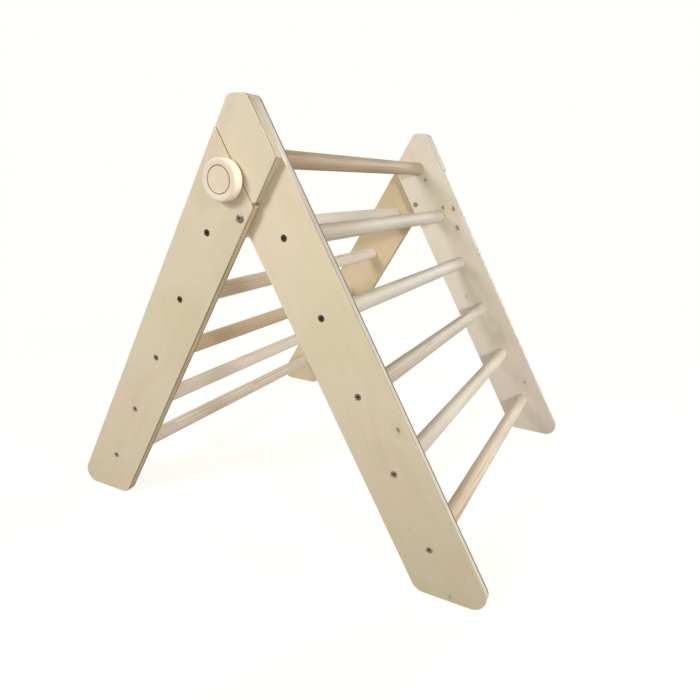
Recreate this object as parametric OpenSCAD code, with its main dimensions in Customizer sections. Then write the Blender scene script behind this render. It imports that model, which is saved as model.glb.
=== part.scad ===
// Foldable climbing triangle: two ladders hinged near the peak, locked open by two knobs.
// Millimetres, +Z up. X runs down the right ladder, Y along the rungs.
// The origin lies on the floor under the peak, midway between the side boards.
// Each side is drawn flat, with x and y as X and Z and z as the distance from the middle.

/* [Ladders] */
// Length of a leg's centreline from the crossing of the legs to the floor
leg_len = 800; // [760:5:900]
// Lean of each leg from the vertical, in degrees
lean = 30; // [27:0.5:33]
// Clear width between the right ladder's two boards
inner_w = 740; // [500:10:900]

/* [Boards] */
// Width of each side board
board_w = 120; // [110:1:130]
// Thickness of the boards and the caps
board_t = 18; // [15:0.5:24]
// Radius of the rounded arris all round a board
edge_r = 1.5; // [1:0.25:3]
// Height of the blunted peak above the crossing of the legs
peak_height = 90; // [84:1:98]
// Radius that a board's tight corners have over that of its arris
corner_ease = 0.5; // [0.5:0.25:4]
// Corner radius of the peak
peak_r = 14; // [8:1:20]
// Corner radius of the feet
foot_r = 25; // [12:1:28]

/* [Rungs] */
// Diameter of the rungs
rung_d = 32; // [25:1:35]
// Distance from rung to rung along a leg
rung_pitch = 140; // [120:1:145]
// Depth of the blind socket that holds each rung end
socket_depth = 8; // [5:0.5:10]
// Bevel on the rung ends
rung_bevel = 1; // [0.5:0.25:2]

/* [Rung screws] */
// Diameter of the countersunk head
screw_head_d = 12; // [9:0.5:14]
// Height of the head's cone
screw_head_h = 2.5; // [2:0.25:4]
// Diameter of the plain neck under the head
screw_neck_d = 7; // [6:0.5:8]
// Length of the plain neck, from the top of the head
screw_neck_len = 12; // [10:0.5:16]
// Diameter of the shank below the neck
screw_shank_d = 5; // [4:0.5:5.5]
// Length of the whole screw
screw_len = 50; // [40:1:60]
// Length of the taper from the neck to the shank
screw_taper = 1; // [0.5:0.25:2]
// Depth of the head below the board's face
screw_sink = 0.6; // [0:0.1:1.5]
// Width across the flats of a hexagon recess
hex_af = 4; // [3:0.5:5]
// Depth of a hexagon recess
hex_depth = 2.5; // [1.5:0.25:3]

/* [Stop caps] */
// Distance of the seam from the right leg's centreline
seam_offset = 15; // [8:0.5:22]
// Gap left in the seam
seam_gap = 0.5; // [0.3:0.1:2]
// Height cut off the cap's lower tip
tip_cut = 6; // [4:0.5:12]
// Diameter of the dowels between cap and board
dowel_d = 8; // [6:0.5:10]
// Length of these dowels
dowel_len = 20; // [14:0.5:26]
// Bevel on the dowel ends
dowel_bevel = 1; // [0.5:0.25:1.5]
// How much nearer the top rung's axis these dowels are than the board's edges
dowel_margin = 18; // [14:1:24]

/* [Pivots] */
// Height of the pivots below the crossing of the legs
pivot_drop = 94; // [90:0.5:98]
// Outer diameter of the sleeve that the left board turns on
sleeve_d = 8; // [7:0.25:10]
// Diameter of the bolt inside the sleeve
pivot_bolt_d = 6; // [4:0.25:6]
// Diameter of the bolt's head and of the sleeve's flange
pivot_head_d = 13; // [12:0.5:18]
// Thickness of the bolt's head
pivot_head_t = 2.4; // [2:0.1:4]
// Rounding of the bolt's head
pivot_dome = 0.8; // [0.4:0.1:1.2]
// Thickness of the sleeve's flange
flange_t = 1.6; // [1:0.1:3]
// Thickness left between the sleeve's hexagon recess and its bore
sleeve_floor = 1.5; // [1:0.25:3]
// Diameter of the washer between the boards
pivot_washer_d = 20; // [16:0.5:24]
// Thickness of the washer between the boards
pivot_washer_t = 0.6; // [0.4:0.1:1.5]

/* [Locking knobs] */
// Distance of the knob's axis down the left leg from the crossing
knob_drop = 42.5; // [40:0.5:48]
// Distance of the knob's axis out from the left leg's centreline
knob_out = 2.5; // [-4:0.5:4]
// Diameter of the knob
knob_d = 66; // [50:1:76]
// Thickness of the knob
knob_t = 18; // [15:0.5:24]
// Radius of the knob's front rim
knob_rim_r = 3; // [1:0.25:5]
// Bevel of the knob's back edge
knob_bevel = 1; // [0.5:0.25:2]
// Diameter of the ring cut into the knob's face
ring_d = 43; // [36:1:48]
// Width of this ring
ring_w = 1.8; // [0.8:0.1:2.5]
// Depth of this ring
ring_depth = 1; // [0.4:0.1:1.5]
// Diameter of the stud
stud_d = 8; // [6:0.5:9]
// Bevel on the stud's ends
stud_bevel = 1; // [0.5:0.25:2]
// Depth of the stud's hole in the knob
stud_hold = 12; // [8:0.5:13]
// Outer diameter of the threaded insert
insert_d = 12; // [11:0.5:14]
// Length of the threaded insert
insert_len = 13; // [8:0.5:14]
// Diameter of the washer under the knob
knob_washer_d = 30; // [20:0.5:38]
// Thickness of the washer under the knob
knob_washer_t = 2; // [1:0.25:3]
// Depth of the arc groove that the stud's tip runs in
groove_depth = 9; // [6:0.25:9.5]

/* [Fits] */
// Radial clearance of a glued or driven piece in its hole
seat_fit = 0.1; // [0.05:0.05:0.2]
// Radial clearance of a piece that turns in its hole
turn_fit = 0.05; // [0.02:0.01:0.1]
// Clearance at the sides of a loose piece
loose_fit = 0.4; // [0.3:0.1:0.8]
// Gap between flat faces that slide on each other
face_play = 0.3; // [0.2:0.05:0.5]
// Gap at the bottom of a blind hole
end_gap = 0.2; // [0.1:0.05:0.5]
// Depth that a drilled pilot hole has past its screw
pilot_spare = 1; // [0.5:0.25:3]

/* [Hidden] */

ROUND = 64;
HULL_ROUND = 32;
EDGE_STEPS = 5;
OVER = 1;
PLY = [0.87, 0.80, 0.67];
DOWEL = [0.86, 0.76, 0.62];
KNOB = [0.91, 0.83, 0.72];
DARK = [0.16, 0.15, 0.14];
STEEL = [0.70, 0.70, 0.71];
BRASS = [0.78, 0.66, 0.40];
NYLON = [0.88, 0.88, 0.86];

half_w = board_w / 2;
peak_z = leg_len * cos(lean);
fold_angle = 2 * lean;
tight_r = edge_r + corner_ease;

// Distances of the faces from the middle, going outwards
inner_face = inner_w / 2;
right_face = inner_face + board_t;
left_back = right_face + pivot_washer_t + face_play;
left_face = left_back + board_t;
knob_washer_z = left_face + face_play;
knob_z = knob_washer_z + knob_washer_t + face_play;
sleeve_bottom = inner_face - flange_t + hex_depth + sleeve_floor;

right_rungs = [0, 1, 2, 3, 4, 5];
left_rungs = [1, 2, 3, 4, 5];
pivot_at = [0, peak_z - pivot_drop];
knob_at = on_leg(-1, knob_drop, knob_out);
knob_arm = knob_at - pivot_at;

// ---- Places in the plane of a side ----

// A point on a leg: its side (1 right, -1 left), the way down the centreline and the way out
function on_leg(side, along, out) =
    [side * (along * sin(lean) + out * cos(lean)), peak_z - along * cos(lean) + out * sin(lean)];

// Where a leg's line at a given way out meets the floor
function at_floor(side, out) = on_leg(side, (peak_z + out * sin(lean)) / cos(lean), out);

// Where a line of the right leg crosses a line of the left leg
function crossing(right_out, left_out) =
    [(right_out - left_out) / (2 * cos(lean)), peak_z + (right_out + left_out) / (2 * sin(lean))];

// Centre of the arc that rounds the corner v between its neighbours
function arc_centre(before, v, after, r) =
    let (a = (before - v) / norm(before - v), b = (after - v) / norm(after - v))
    v + (a + b) / norm(a + b) * r / sin(acos(a * b) / 2);

// Arc centres and radii of an outline's corners, each given as [point, radius]
function arcs(outline) = let (n = len(outline))
    [for (i = [0:n - 1]) [arc_centre(outline[(i + n - 1) % n][0], outline[i][0],
        outline[(i + 1) % n][0], outline[i][1]), outline[i][1]]];

peak_top = peak_z + peak_height;
peak_x = (half_w / sin(lean) - peak_height) * tan(lean);
peak_corners = [[[-peak_x, peak_top], peak_r], [[peak_x, peak_top], peak_r]];

right_outline = concat(peak_corners,
    [[at_floor(1, half_w), foot_r], [at_floor(1, -half_w), foot_r],
     [crossing(-half_w, half_w), tight_r]]);

left_outline = [[crossing(-seam_offset - seam_gap, half_w), tight_r],
    [crossing(-seam_offset - seam_gap, -half_w), tight_r],
    [at_floor(-1, -half_w), foot_r], [at_floor(-1, half_w), foot_r]];

tip = crossing(-seam_offset, -half_w);
cap_outline = concat(peak_corners,
    [[crossing(half_w, -half_w), tight_r],
     [tip + [tip_cut * tan(lean), tip_cut], tight_r],
     [tip + [-tip_cut * tan(lean), tip_cut], tight_r],
     [crossing(-seam_offset, half_w), tight_r]]);

// ---- Shared shapes ----

// The near side faces -Y, and the far side is its mirror image
module near() rotate([90, 0, 0]) children();
module far() mirror([0, 1, 0]) near() children();

module at(p, z) translate([p.x, p.y, z]) children();

// A board of a convex outline with every arris rounded
module eased_board(outline) {
    hull() for (c = arcs(outline), k = [0:EDGE_STEPS]) {
        rise = edge_r * (1 - sin(90 * k / EDGE_STEPS));
        inset = edge_r * (1 - cos(90 * k / EDGE_STEPS));
        at(c[0], rise) cylinder(r = c[1] - inset, h = board_t - 2 * rise, $fn = HULL_ROUND);
    }
}

module turned(profile) rotate_extrude($fn = ROUND) polygon(profile);

module washer(outer_d, inner_d, t) turned([[inner_d / 2, 0], [outer_d / 2, 0],
    [outer_d / 2, t], [inner_d / 2, t]]);

module hex_recess(top) at([0, 0], top - hex_depth)
    cylinder(d = hex_af / cos(30), h = hex_depth + OVER, $fn = 6);

// ---- Rungs and their screws ----

// A rung lies along Y, with a pilot hole for a screw in each end
module rung(side, step, face) {
    half = face + socket_depth - end_gap;
    pilot_r = screw_shank_d / 2 + seat_fit;
    pilot = screw_len - (board_t - socket_depth) + screw_sink + pilot_spare;
    neck_r = screw_neck_d / 2 + seat_fit;
    neck = screw_neck_len + screw_sink - (board_t - socket_depth) + pilot_spare;
    r = rung_d / 2;
    end = [[0, half - pilot], [pilot_r, half - pilot], [pilot_r, half - neck],
        [neck_r, half - neck], [neck_r, half], [r - rung_bevel, half], [r, half - rung_bevel]];
    corners = len(end);
    other_end = [for (i = [1:corners]) [end[corners - i].x, -end[corners - i].y]];
    color(DOWEL) near() at(on_leg(side, step * rung_pitch, 0), 0) turned(concat(end, other_end));
}

// The screw's outline with room round it, its head's top at the origin, going down
function screw_profile(room, top) = [[0, top], [screw_head_d / 2 + room, top],
    [screw_head_d / 2 + room, -room], [screw_neck_d / 2 + room, -screw_head_h - room],
    [screw_neck_d / 2 + room, -screw_neck_len],
    [screw_shank_d / 2 + room, -screw_neck_len - screw_taper]];

module screw() difference() {
    turned(concat(screw_profile(0, 0),
        [[screw_shank_d / 2, screw_shank_d / 2 - screw_len], [0, -screw_len]]));
    hex_recess(0);
}

// All that a rung end needs in its board: a blind socket inside and a screw hole outside
module rung_seats(side, steps, back) for (step = steps) {
    at(on_leg(side, step * rung_pitch, 0), back - OVER)
        cylinder(r = rung_d / 2 + seat_fit, h = socket_depth + OVER, $fn = ROUND);
    at(on_leg(side, step * rung_pitch, 0), back + board_t - screw_sink)
        turned(concat(screw_profile(seat_fit, screw_sink + OVER),
            [[screw_shank_d / 2 + seat_fit, -board_t], [0, -board_t]]));
}

module screws(side, steps, face) for (step = steps)
    at(on_leg(side, step * rung_pitch, 0), face - screw_sink) screw();

// ---- Right ladder ----

dowel_places = [for (a = [90, -10]) [0, peak_z] + (half_w - dowel_margin) * [cos(a), sin(a)]];

module dowel_holes() for (p = dowel_places)
    at(p, right_face - dowel_len / 2 - end_gap)
        cylinder(r = dowel_d / 2 + seat_fit, h = dowel_len + 2 * end_gap, $fn = ROUND);

// The stud's tip swings out of this groove as the left ladder folds
module stud_groove() {
    r = norm(knob_arm);
    w = stud_d / 2 + loose_fit;
    at(pivot_at, right_face - groove_depth) rotate(atan2(knob_arm.y, knob_arm.x)) {
        rotate_extrude(angle = fold_angle, $fn = 2 * ROUND)
            translate([r - w, 0]) square([2 * w, groove_depth + OVER]);
        translate([r, 0, 0]) cylinder(r = w, h = groove_depth + OVER, $fn = ROUND);
    }
}

module right_board() color(PLY) difference() {
    at([0, 0], inner_face) eased_board(right_outline);
    rung_seats(1, right_rungs, inner_face);
    dowel_holes();
    stud_groove();
    at(pivot_at, inner_face - OVER)
        cylinder(r = sleeve_d / 2 + seat_fit, h = board_t + 2 * OVER, $fn = ROUND);
}

module stop_cap() color(PLY) difference() {
    at([0, 0], right_face) eased_board(cap_outline);
    dowel_holes();
}

module dowels() for (p = dowel_places) at(p, right_face - dowel_len / 2) {
    r = dowel_d / 2;
    turned([[0, 0], [r - dowel_bevel, 0], [r, dowel_bevel], [r, dowel_len - dowel_bevel],
        [r - dowel_bevel, dowel_len], [0, dowel_len]]);
}

module pivot_sleeve() color(STEEL) at(pivot_at, 0) difference() {
    r = sleeve_d / 2;
    flange_r = pivot_head_d / 2;
    bore_r = pivot_bolt_d / 2 + turn_fit;
    flange_z = inner_face - flange_t;
    reach = left_face - end_gap;
    turned([[0, flange_z], [flange_r, flange_z], [flange_r, inner_face], [r, inner_face],
        [r, reach], [bore_r, reach], [bore_r, sleeve_bottom], [0, sleeve_bottom]]);
    at([0, 0], flange_z + hex_depth) mirror([0, 0, 1]) hex_recess(hex_depth);
}

module pivot_bolt() color(STEEL) at(pivot_at, left_face + face_play) difference() {
    r = pivot_head_d / 2;
    reach = left_face + face_play - sleeve_bottom - end_gap;
    turned([[0, -reach], [pivot_bolt_d / 2, -reach], [pivot_bolt_d / 2, 0], [r, 0],
        [r, pivot_head_t - pivot_dome], [r - 2 * pivot_dome, pivot_head_t],
        [0, pivot_head_t]]);
    hex_recess(pivot_head_t);
}

module pivot_washer() color(NYLON) at(pivot_at, right_face)
    washer(pivot_washer_d, sleeve_d + 2 * seat_fit, pivot_washer_t);

// ---- Left ladder ----

module left_board() color(PLY) difference() {
    at([0, 0], left_back) eased_board(left_outline);
    rung_seats(-1, left_rungs, left_back);
    at(pivot_at, left_back - OVER)
        cylinder(r = sleeve_d / 2 + turn_fit, h = board_t + 2 * OVER, $fn = ROUND);
    at(knob_at, left_back - OVER)
        cylinder(r = stud_d / 2 + loose_fit, h = board_t + 2 * OVER, $fn = ROUND);
    at(knob_at, left_back - OVER)
        cylinder(r = insert_d / 2 + seat_fit, h = insert_len + end_gap + OVER, $fn = ROUND);
}

module knob_insert() color(BRASS) at(knob_at, left_back)
    washer(insert_d, stud_d + 2 * turn_fit, insert_len);

// ---- Locking knobs ----

module knob_washer() color(STEEL) at(knob_at, knob_washer_z)
    washer(knob_washer_d, stud_d + 2 * loose_fit, knob_washer_t);

module knob() color(KNOB) at(knob_at, knob_z) {
    r = knob_d / 2;
    hole_r = stud_d / 2 + seat_fit;
    rim = [for (a = [0:15:90]) [r - knob_rim_r + knob_rim_r * cos(a),
        knob_t - knob_rim_r + knob_rim_r * sin(a)]];
    ring = [[(ring_d + ring_w) / 2, knob_t], [ring_d / 2, knob_t - ring_depth],
        [(ring_d - ring_w) / 2, knob_t]];
    turned(concat([[0, stud_hold], [hole_r, stud_hold], [hole_r, 0], [r - knob_bevel, 0],
        [r, knob_bevel]], rim, ring, [[0, knob_t]]));
}

module knob_stud() color(STEEL) {
    r = stud_d / 2;
    low = right_face - groove_depth + face_play;
    high = knob_z + stud_hold - end_gap;
    at(knob_at, 0) turned([[0, low], [r - stud_bevel, low], [r, low + stud_bevel],
        [r, high - stud_bevel], [r - stud_bevel, high], [0, high]]);
}

// ---- Nodes ----

near() right_board();  // right_board_near
far() right_board();  // right_board_far
near() stop_cap();  // stop_cap_near
far() stop_cap();  // stop_cap_far
color(DOWEL) { near() dowels(); far() dowels(); }  // cap_dowels
rung(1, 0, inner_face);  // right_rung_1
rung(1, 1, inner_face);  // right_rung_2
rung(1, 2, inner_face);  // right_rung_3
rung(1, 3, inner_face);  // right_rung_4
rung(1, 4, inner_face);  // right_rung_5
rung(1, 5, inner_face);  // right_rung_6
color(DARK) near() screws(1, right_rungs, right_face);  // right_screws_near
color(DARK) far() screws(1, right_rungs, right_face);  // right_screws_far
near() pivot_sleeve();  // pivot_sleeve_near
far() pivot_sleeve();  // pivot_sleeve_far
near() pivot_bolt();  // pivot_bolt_near
far() pivot_bolt();  // pivot_bolt_far
near() pivot_washer();  // pivot_washer_near
far() pivot_washer();  // pivot_washer_far
near() left_board();  // left_board_near
far() left_board();  // left_board_far
rung(-1, 1, left_back);  // left_rung_1
rung(-1, 2, left_back);  // left_rung_2
rung(-1, 3, left_back);  // left_rung_3
rung(-1, 4, left_back);  // left_rung_4
rung(-1, 5, left_back);  // left_rung_5
color(DARK) near() screws(-1, left_rungs, left_face);  // left_screws_near
color(DARK) far() screws(-1, left_rungs, left_face);  // left_screws_far
near() knob_insert();  // knob_insert_near
far() knob_insert();  // knob_insert_far
near() knob_washer();  // knob_washer_near
far() knob_washer();  // knob_washer_far
near() knob();  // knob_near
far() knob();  // knob_far
near() knob_stud();  // knob_stud_near
far() knob_stud();  // knob_stud_far
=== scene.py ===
"""Foldable climbing triangle: plywood ladders with dowel rungs, turned knobs and steel fittings."""

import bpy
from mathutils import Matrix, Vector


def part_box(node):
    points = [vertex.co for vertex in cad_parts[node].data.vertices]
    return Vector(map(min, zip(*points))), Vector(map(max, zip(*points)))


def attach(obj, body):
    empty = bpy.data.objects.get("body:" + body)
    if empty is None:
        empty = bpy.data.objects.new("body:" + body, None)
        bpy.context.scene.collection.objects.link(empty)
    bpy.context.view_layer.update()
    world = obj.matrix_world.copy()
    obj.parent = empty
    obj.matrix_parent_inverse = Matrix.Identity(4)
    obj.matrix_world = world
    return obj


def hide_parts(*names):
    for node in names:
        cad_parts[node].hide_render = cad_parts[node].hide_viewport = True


bl_info = {
    "name": "Climbing Triangle",
    "version": (1, 0, 0),
    "blender": (4, 5, 0),
    "location": "3D View > Sidebar > Triangle",
    "description": "Dresses a folding wooden climbing triangle in plywood, dowel and steel",
    "category": "Add Mesh",
}

import math

import bpy
import numpy as np
from bpy.props import FloatProperty, FloatVectorProperty, IntProperty, PointerProperty
from mathutils import Quaternion, Vector

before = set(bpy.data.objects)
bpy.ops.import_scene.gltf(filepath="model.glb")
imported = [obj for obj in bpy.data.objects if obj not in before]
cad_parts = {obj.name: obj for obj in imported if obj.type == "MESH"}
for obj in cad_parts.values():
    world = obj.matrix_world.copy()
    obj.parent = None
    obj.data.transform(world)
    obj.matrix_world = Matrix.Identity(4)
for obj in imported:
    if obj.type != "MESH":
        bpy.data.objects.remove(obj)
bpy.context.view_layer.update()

MM = 0.001
# The sign of Y on each side, and the number of each ladder's rungs
SIDES = {"near": -1, "far": 1}
LADDERS = {"right": 6, "left": 5}
# Faces that meet at more than this angle keep a sharp edge
SHARP = math.radians(35)
GRAIN_RELIEF = 0.3 * MM


# ---- Places that the frame gives ----

def middle(node):
    """The middle of a node's box."""
    low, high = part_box(node)
    return (low + high) / 2


def across(node, axis=0):
    """The size of a node's box along one axis."""
    low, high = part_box(node)
    return high[axis] - low[axis]


def outer_face(node, side):
    """The distance from the middle of the object to a node's outer face."""
    low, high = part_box(node)
    return high.y if side > 0 else -low.y


def rung_axis(ladder, step):
    """The place of a rung's axis, as (x, z)."""
    place = middle(f"{ladder}_rung_{step}")
    return place.x, place.z


def lean(ladder):
    """The angle of a ladder from upright, which is positive where its foot is on the right."""
    (top_x, top_z), (next_x, next_z) = rung_axis(ladder, 1), rung_axis(ladder, 2)
    return math.atan2(next_x - top_x, top_z - next_z)


TOP_RUNG = middle("right_rung_1")
RUNG_R = across("right_rung_1") / 2
RUNG_PITCH = math.dist(rung_axis("right", 1), rung_axis("right", 2))
BOARD_T = across("right_board_near", 1)
INNER_FACE = -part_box("right_board_near")[1].y
OUTER_FACE = INNER_FACE + BOARD_T
LEFT_INNER_FACE = -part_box("left_board_near")[1].y
KNOB = middle("knob_near")
KNOB_R = across("knob_near") / 2
KNOB_FRONT = outer_face("knob_near", -1)


# ---- Sizes, colours and lights that a user may change ----

def colour(name, description, default):
    """A colour property, in scene linear values."""
    return FloatVectorProperty(
        name=name, description=description, subtype="COLOR", size=3,
        min=0.0, max=1.0, default=default,
    )


def length(name, description, default, low, high):
    """A length property, from its default and limits in millimetres."""
    return FloatProperty(
        name=name, description=description, unit="LENGTH",
        default=default * MM, min=low * MM, max=high * MM,
    )


def degrees(name, description, default):
    """An angle property, from its default in degrees."""
    return FloatProperty(
        name=name, description=description, subtype="ANGLE", default=math.radians(default),
    )


def number(name, description, default, low=0.0, high=1.0):
    """A plain number property."""
    return FloatProperty(name=name, description=description, default=default, min=low, max=high)


class TrianglePlywood(bpy.types.PropertyGroup):
    """The look of the boards and caps."""
    veneer: colour("Veneer", "Face veneer of the boards", (0.715, 0.625, 0.48))
    streak: colour("Streak", "Darker bands of the veneer", (0.60, 0.485, 0.33))
    blush: colour("Blush", "Pinkish patches of the veneer", (0.75, 0.60, 0.48))
    olive: colour("Olive", "Greenish patches of the veneer", (0.655, 0.60, 0.42))
    long_ply: colour("Long ply", "Plies whose grain runs along the board", (0.84, 0.81, 0.75))
    cross_ply: colour("Cross ply", "Plies whose grain runs across the board", (0.68, 0.60, 0.49))
    # The dark ply colour paints the shade along the arrises of each board's edge
    line: colour("Dark ply", "Dark plies under each face, which show as a line", (0.19, 0.15, 0.11))
    # The knot colour also paints the shade in the crack round each rung's end
    knot_and_seam_shade: colour("Knot", "Pin knots, glue and seams", (0.29, 0.185, 0.095))
    plies: IntProperty(name="Plies", description="Number of plies in a board", default=13, min=3, max=15)
    relief: number("Relief", "Strength of the grain's relief", 0.25)
    gloss: number("Roughness", "Roughness of the lacquer", 0.5, 0.1)


class TriangleDowel(bpy.types.PropertyGroup):
    """The look of the rungs."""
    white: colour("White wood", "Wood of the palest rungs", (0.90, 0.85, 0.77))
    pale: colour("Pale wood", "Wood of the pale rungs", (0.84, 0.77, 0.68))
    tan: colour("Tan wood", "Wood of the tan rungs", (0.78, 0.655, 0.50))
    grey: colour("Grey wood", "Wood of the greyish pale rungs", (0.67, 0.63, 0.565))
    honey: colour("Honey wood", "Wood of the darker rungs", (0.54, 0.485, 0.39))
    tawny: colour("Tawny wood", "Wood of the warmer dark rungs", (0.66, 0.52, 0.365))
    hazel: colour("Hazel wood", "Wood of the hazel rungs", (0.53, 0.435, 0.32))
    umber: colour("Umber wood", "Wood of the umber rungs", (0.405, 0.30, 0.185))
    ring: length("Ring", "Width of a growth ring", 2.4, 0.5, 10)
    bevel: length("Bevel", "Bevel of the rung ends", 1, 0.2, 3)


class TriangleKnob(bpy.types.PropertyGroup):
    """The shape and look of the locking knobs."""
    wood: colour("Wood", "Turned wood of the knobs", (0.82, 0.71, 0.58))
    grain: colour("Grain", "Grain lines of the knobs", (0.66, 0.52, 0.37))
    burnt: colour("Burnt wood", "Wood in the turned ring", (0.16, 0.10, 0.055))
    rim: length("Rim", "Radius of the front rim", 3, 1, 6)
    back: length("Back bevel", "Bevel of the back edge", 1, 0.3, 3)
    ring: length("Ring", "Diameter of the turned ring", 43, 30, 55)
    ring_width: length("Ring width", "Width of the turned ring", 1.8, 0.5, 3)
    ring_depth: length("Ring depth", "Depth of the turned ring", 1.0, 0.2, 2)
    thread_pitch: length("Pitch", "Pitch of the stud's thread", 1.25, 0.5, 2)


class TriangleMetal(bpy.types.PropertyGroup):
    """The look of the metal and nylon pieces, and the screws' sockets."""
    dark: colour("Dark steel", "Oxide finish of the rung screws", (0.066, 0.05, 0.028))
    worn: colour("Worn steel", "Bare steel where the screws' finish is worn", (0.47, 0.42, 0.34))
    bright: colour("Bright steel", "Zinc finish of the pivots and studs", (0.27, 0.235, 0.18))
    brass: colour("Brass", "Threaded inserts", (0.55, 0.38, 0.14))
    nylon: colour("Nylon", "Washers between the boards", (0.75, 0.75, 0.72))
    socket: length("Socket", "Width of a hexagon socket across its flats", 4, 2, 6)
    socket_depth: length("Socket depth", "Depth of a hexagon socket", 2.4, 1, 4)


class TriangleStudio(bpy.types.PropertyGroup):
    """Camera, lamps and floor. Each lamp's setting is its power in watts."""
    eye: FloatVectorProperty(name="Camera", description="Place of the camera", subtype="TRANSLATION",
                             unit="LENGTH", size=3, default=(0.5780, -1.1436, 0.6691))
    heading: degrees("Heading", "Turn of the view from +Y towards -X", 25.88)
    dip: degrees("Dip", "Angle of the view below the horizon", 18.04)
    roll: degrees("Roll", "Turn of the camera about its view", 1.907)
    lens: number("Lens", "Focal length in millimetres", 28.75, 10, 200)
    shift: FloatVectorProperty(name="Shift", description="Lens shift, as a share of the frame", size=2,
                               default=(-0.01416, 0.01209))
    key: number("Key", "Power of the key lamp in watts", 59, high=500)
    side: number("Side", "Power of the lamp on the right in watts", 15, high=500)
    knob_beam: number("Knob beam", "Power of the beam on the knob's side in watts", 0.055, high=500)
    far_beam: number("Far beam", "Power of the beam on the far feet in watts", 2.2, high=500)
    back: number("Back", "Power of the lamp behind in watts", 40, high=500)
    sky: number("Sky", "Strength of the light from all round", 0.265, high=2)
    zenith: number("Zenith", "How much more of it comes from above, as a share", 0.55)
    floor_glow: number("Floor glow", "White that the floor shows in full shadow", 0.80)


# ---- Meshes ----

def turned_grid(radii, heights, steps, shape=None):
    """Vertices and faces of a turned solid about the Z axis.

    Row i is a circle of radius radii[i] at heights[i], and column j stands at the angle
    2 pi j / steps, so a point is (r cos a, r sin a, h). The first and last rows have radius
    zero and close the solid with one point each. shape(i, a) may scale a row's radius.
    """
    radii, heights = np.asarray(radii, float), np.asarray(heights, float)
    angle = np.arange(steps) * 2 * np.pi / steps
    inner = np.arange(1, len(radii) - 1)
    row_r = radii[inner, None] * np.ones((1, steps))
    if shape is not None:
        row_r = row_r * shape(inner[:, None], angle[None, :])
    points = np.stack([
        row_r * np.cos(angle), row_r * np.sin(angle), heights[inner, None] * np.ones((1, steps)),
    ], axis=-1).reshape(-1, 3)
    ends = np.array([[0, 0, heights[0]], [0, 0, heights[-1]]])
    points = np.vstack([points, ends])
    column = np.arange(steps)
    after = (column + 1) % steps
    row = np.arange(len(inner) - 1)[:, None] * steps
    quads = np.stack([row + column, row + after, row + steps + after, row + steps + column],
                     axis=-1).reshape(-1, 4)
    first, last = len(points) - 2, len(points) - 1
    top = (len(inner) - 1) * steps
    caps = [np.stack([np.full(steps, first), after, column], axis=-1),
            np.stack([np.full(steps, last), top + column, top + after], axis=-1)]
    return points, quads.tolist() + np.vstack(caps).tolist()


def along_y(points, side, place):
    """Turns points from the Z axis to the outward Y axis of a side and moves them to a place.

    On the far side (x, y, z) becomes (-x, z, y), and on the near side (x, -z, y): both are
    turns and no mirror image, so faces still point outwards.
    """
    x, y, z = points.T
    out = np.stack([-x, z, y] if side > 0 else [x, -z, y], axis=-1)
    return out + np.array([place[0], 0, place[1]])


def make_piece(name, points, faces, material, body, slot, node):
    """A closed mesh object that rides on a body and stands for a CAD node."""
    mesh = bpy.data.meshes.new(name)
    mesh.from_pydata(np.asarray(points).tolist(), [], faces)
    mesh.polygons.foreach_set("use_smooth", np.ones(len(mesh.polygons), bool))
    mesh.set_sharp_from_angle(angle=SHARP)
    mesh.update()
    piece = bpy.data.objects.new(name, mesh)
    bpy.context.scene.collection.objects.link(piece)
    mesh.materials.append(material)
    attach(piece, body)
    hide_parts(node)
    return piece


def vertices(piece):
    """The places of a piece's vertices, one row for each."""
    at = np.zeros(len(piece.data.vertices) * 3)
    piece.data.vertices.foreach_get("co", at)
    return at.reshape(-1, 3)


def mark(piece, name, kind, field, values):
    """Stores an attribute with a value for each vertex."""
    layer = piece.data.attributes.new(name, kind, "POINT")
    layer.data.foreach_set(field, np.asarray(values, np.float32).ravel())


def join(parts):
    """Several (points, faces) pairs as one."""
    points, faces, start = [], [], 0
    for part_points, part_faces in parts:
        points.append(part_points)
        faces += [[start + i for i in face] for face in part_faces]
        start += len(part_points)
    return np.vstack(points), faces


def quarter_round(r_centre, h_centre, radius, steps):
    """Radii and heights of a round edge: centre plus radius times (cos, sin) from 0 to 90
    degrees."""
    a = np.linspace(0, np.pi / 2, steps)
    return r_centre + radius * np.cos(a), h_centre + radius * np.sin(a)


def profile(*runs):
    """Joins runs of (radii, heights) into one profile."""
    radii, heights = zip(*runs)
    return np.concatenate(radii), np.concatenate(heights)


def hexagon(rows):
    """A shape function: the named rows are hexagons, whose radius in the profile is their half
    width across the flats, and the rest are circles. A hexagon's radius is its half width over
    the cosine of the angle from the middle of the nearest flat."""
    def shape(row, angle):
        flat = (angle + np.pi / 6) % (np.pi / 3) - np.pi / 6
        return np.where(np.isin(row, rows), 1 / np.cos(flat), 1.0)
    return shape


# ---- Node helpers for the materials ----

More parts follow.
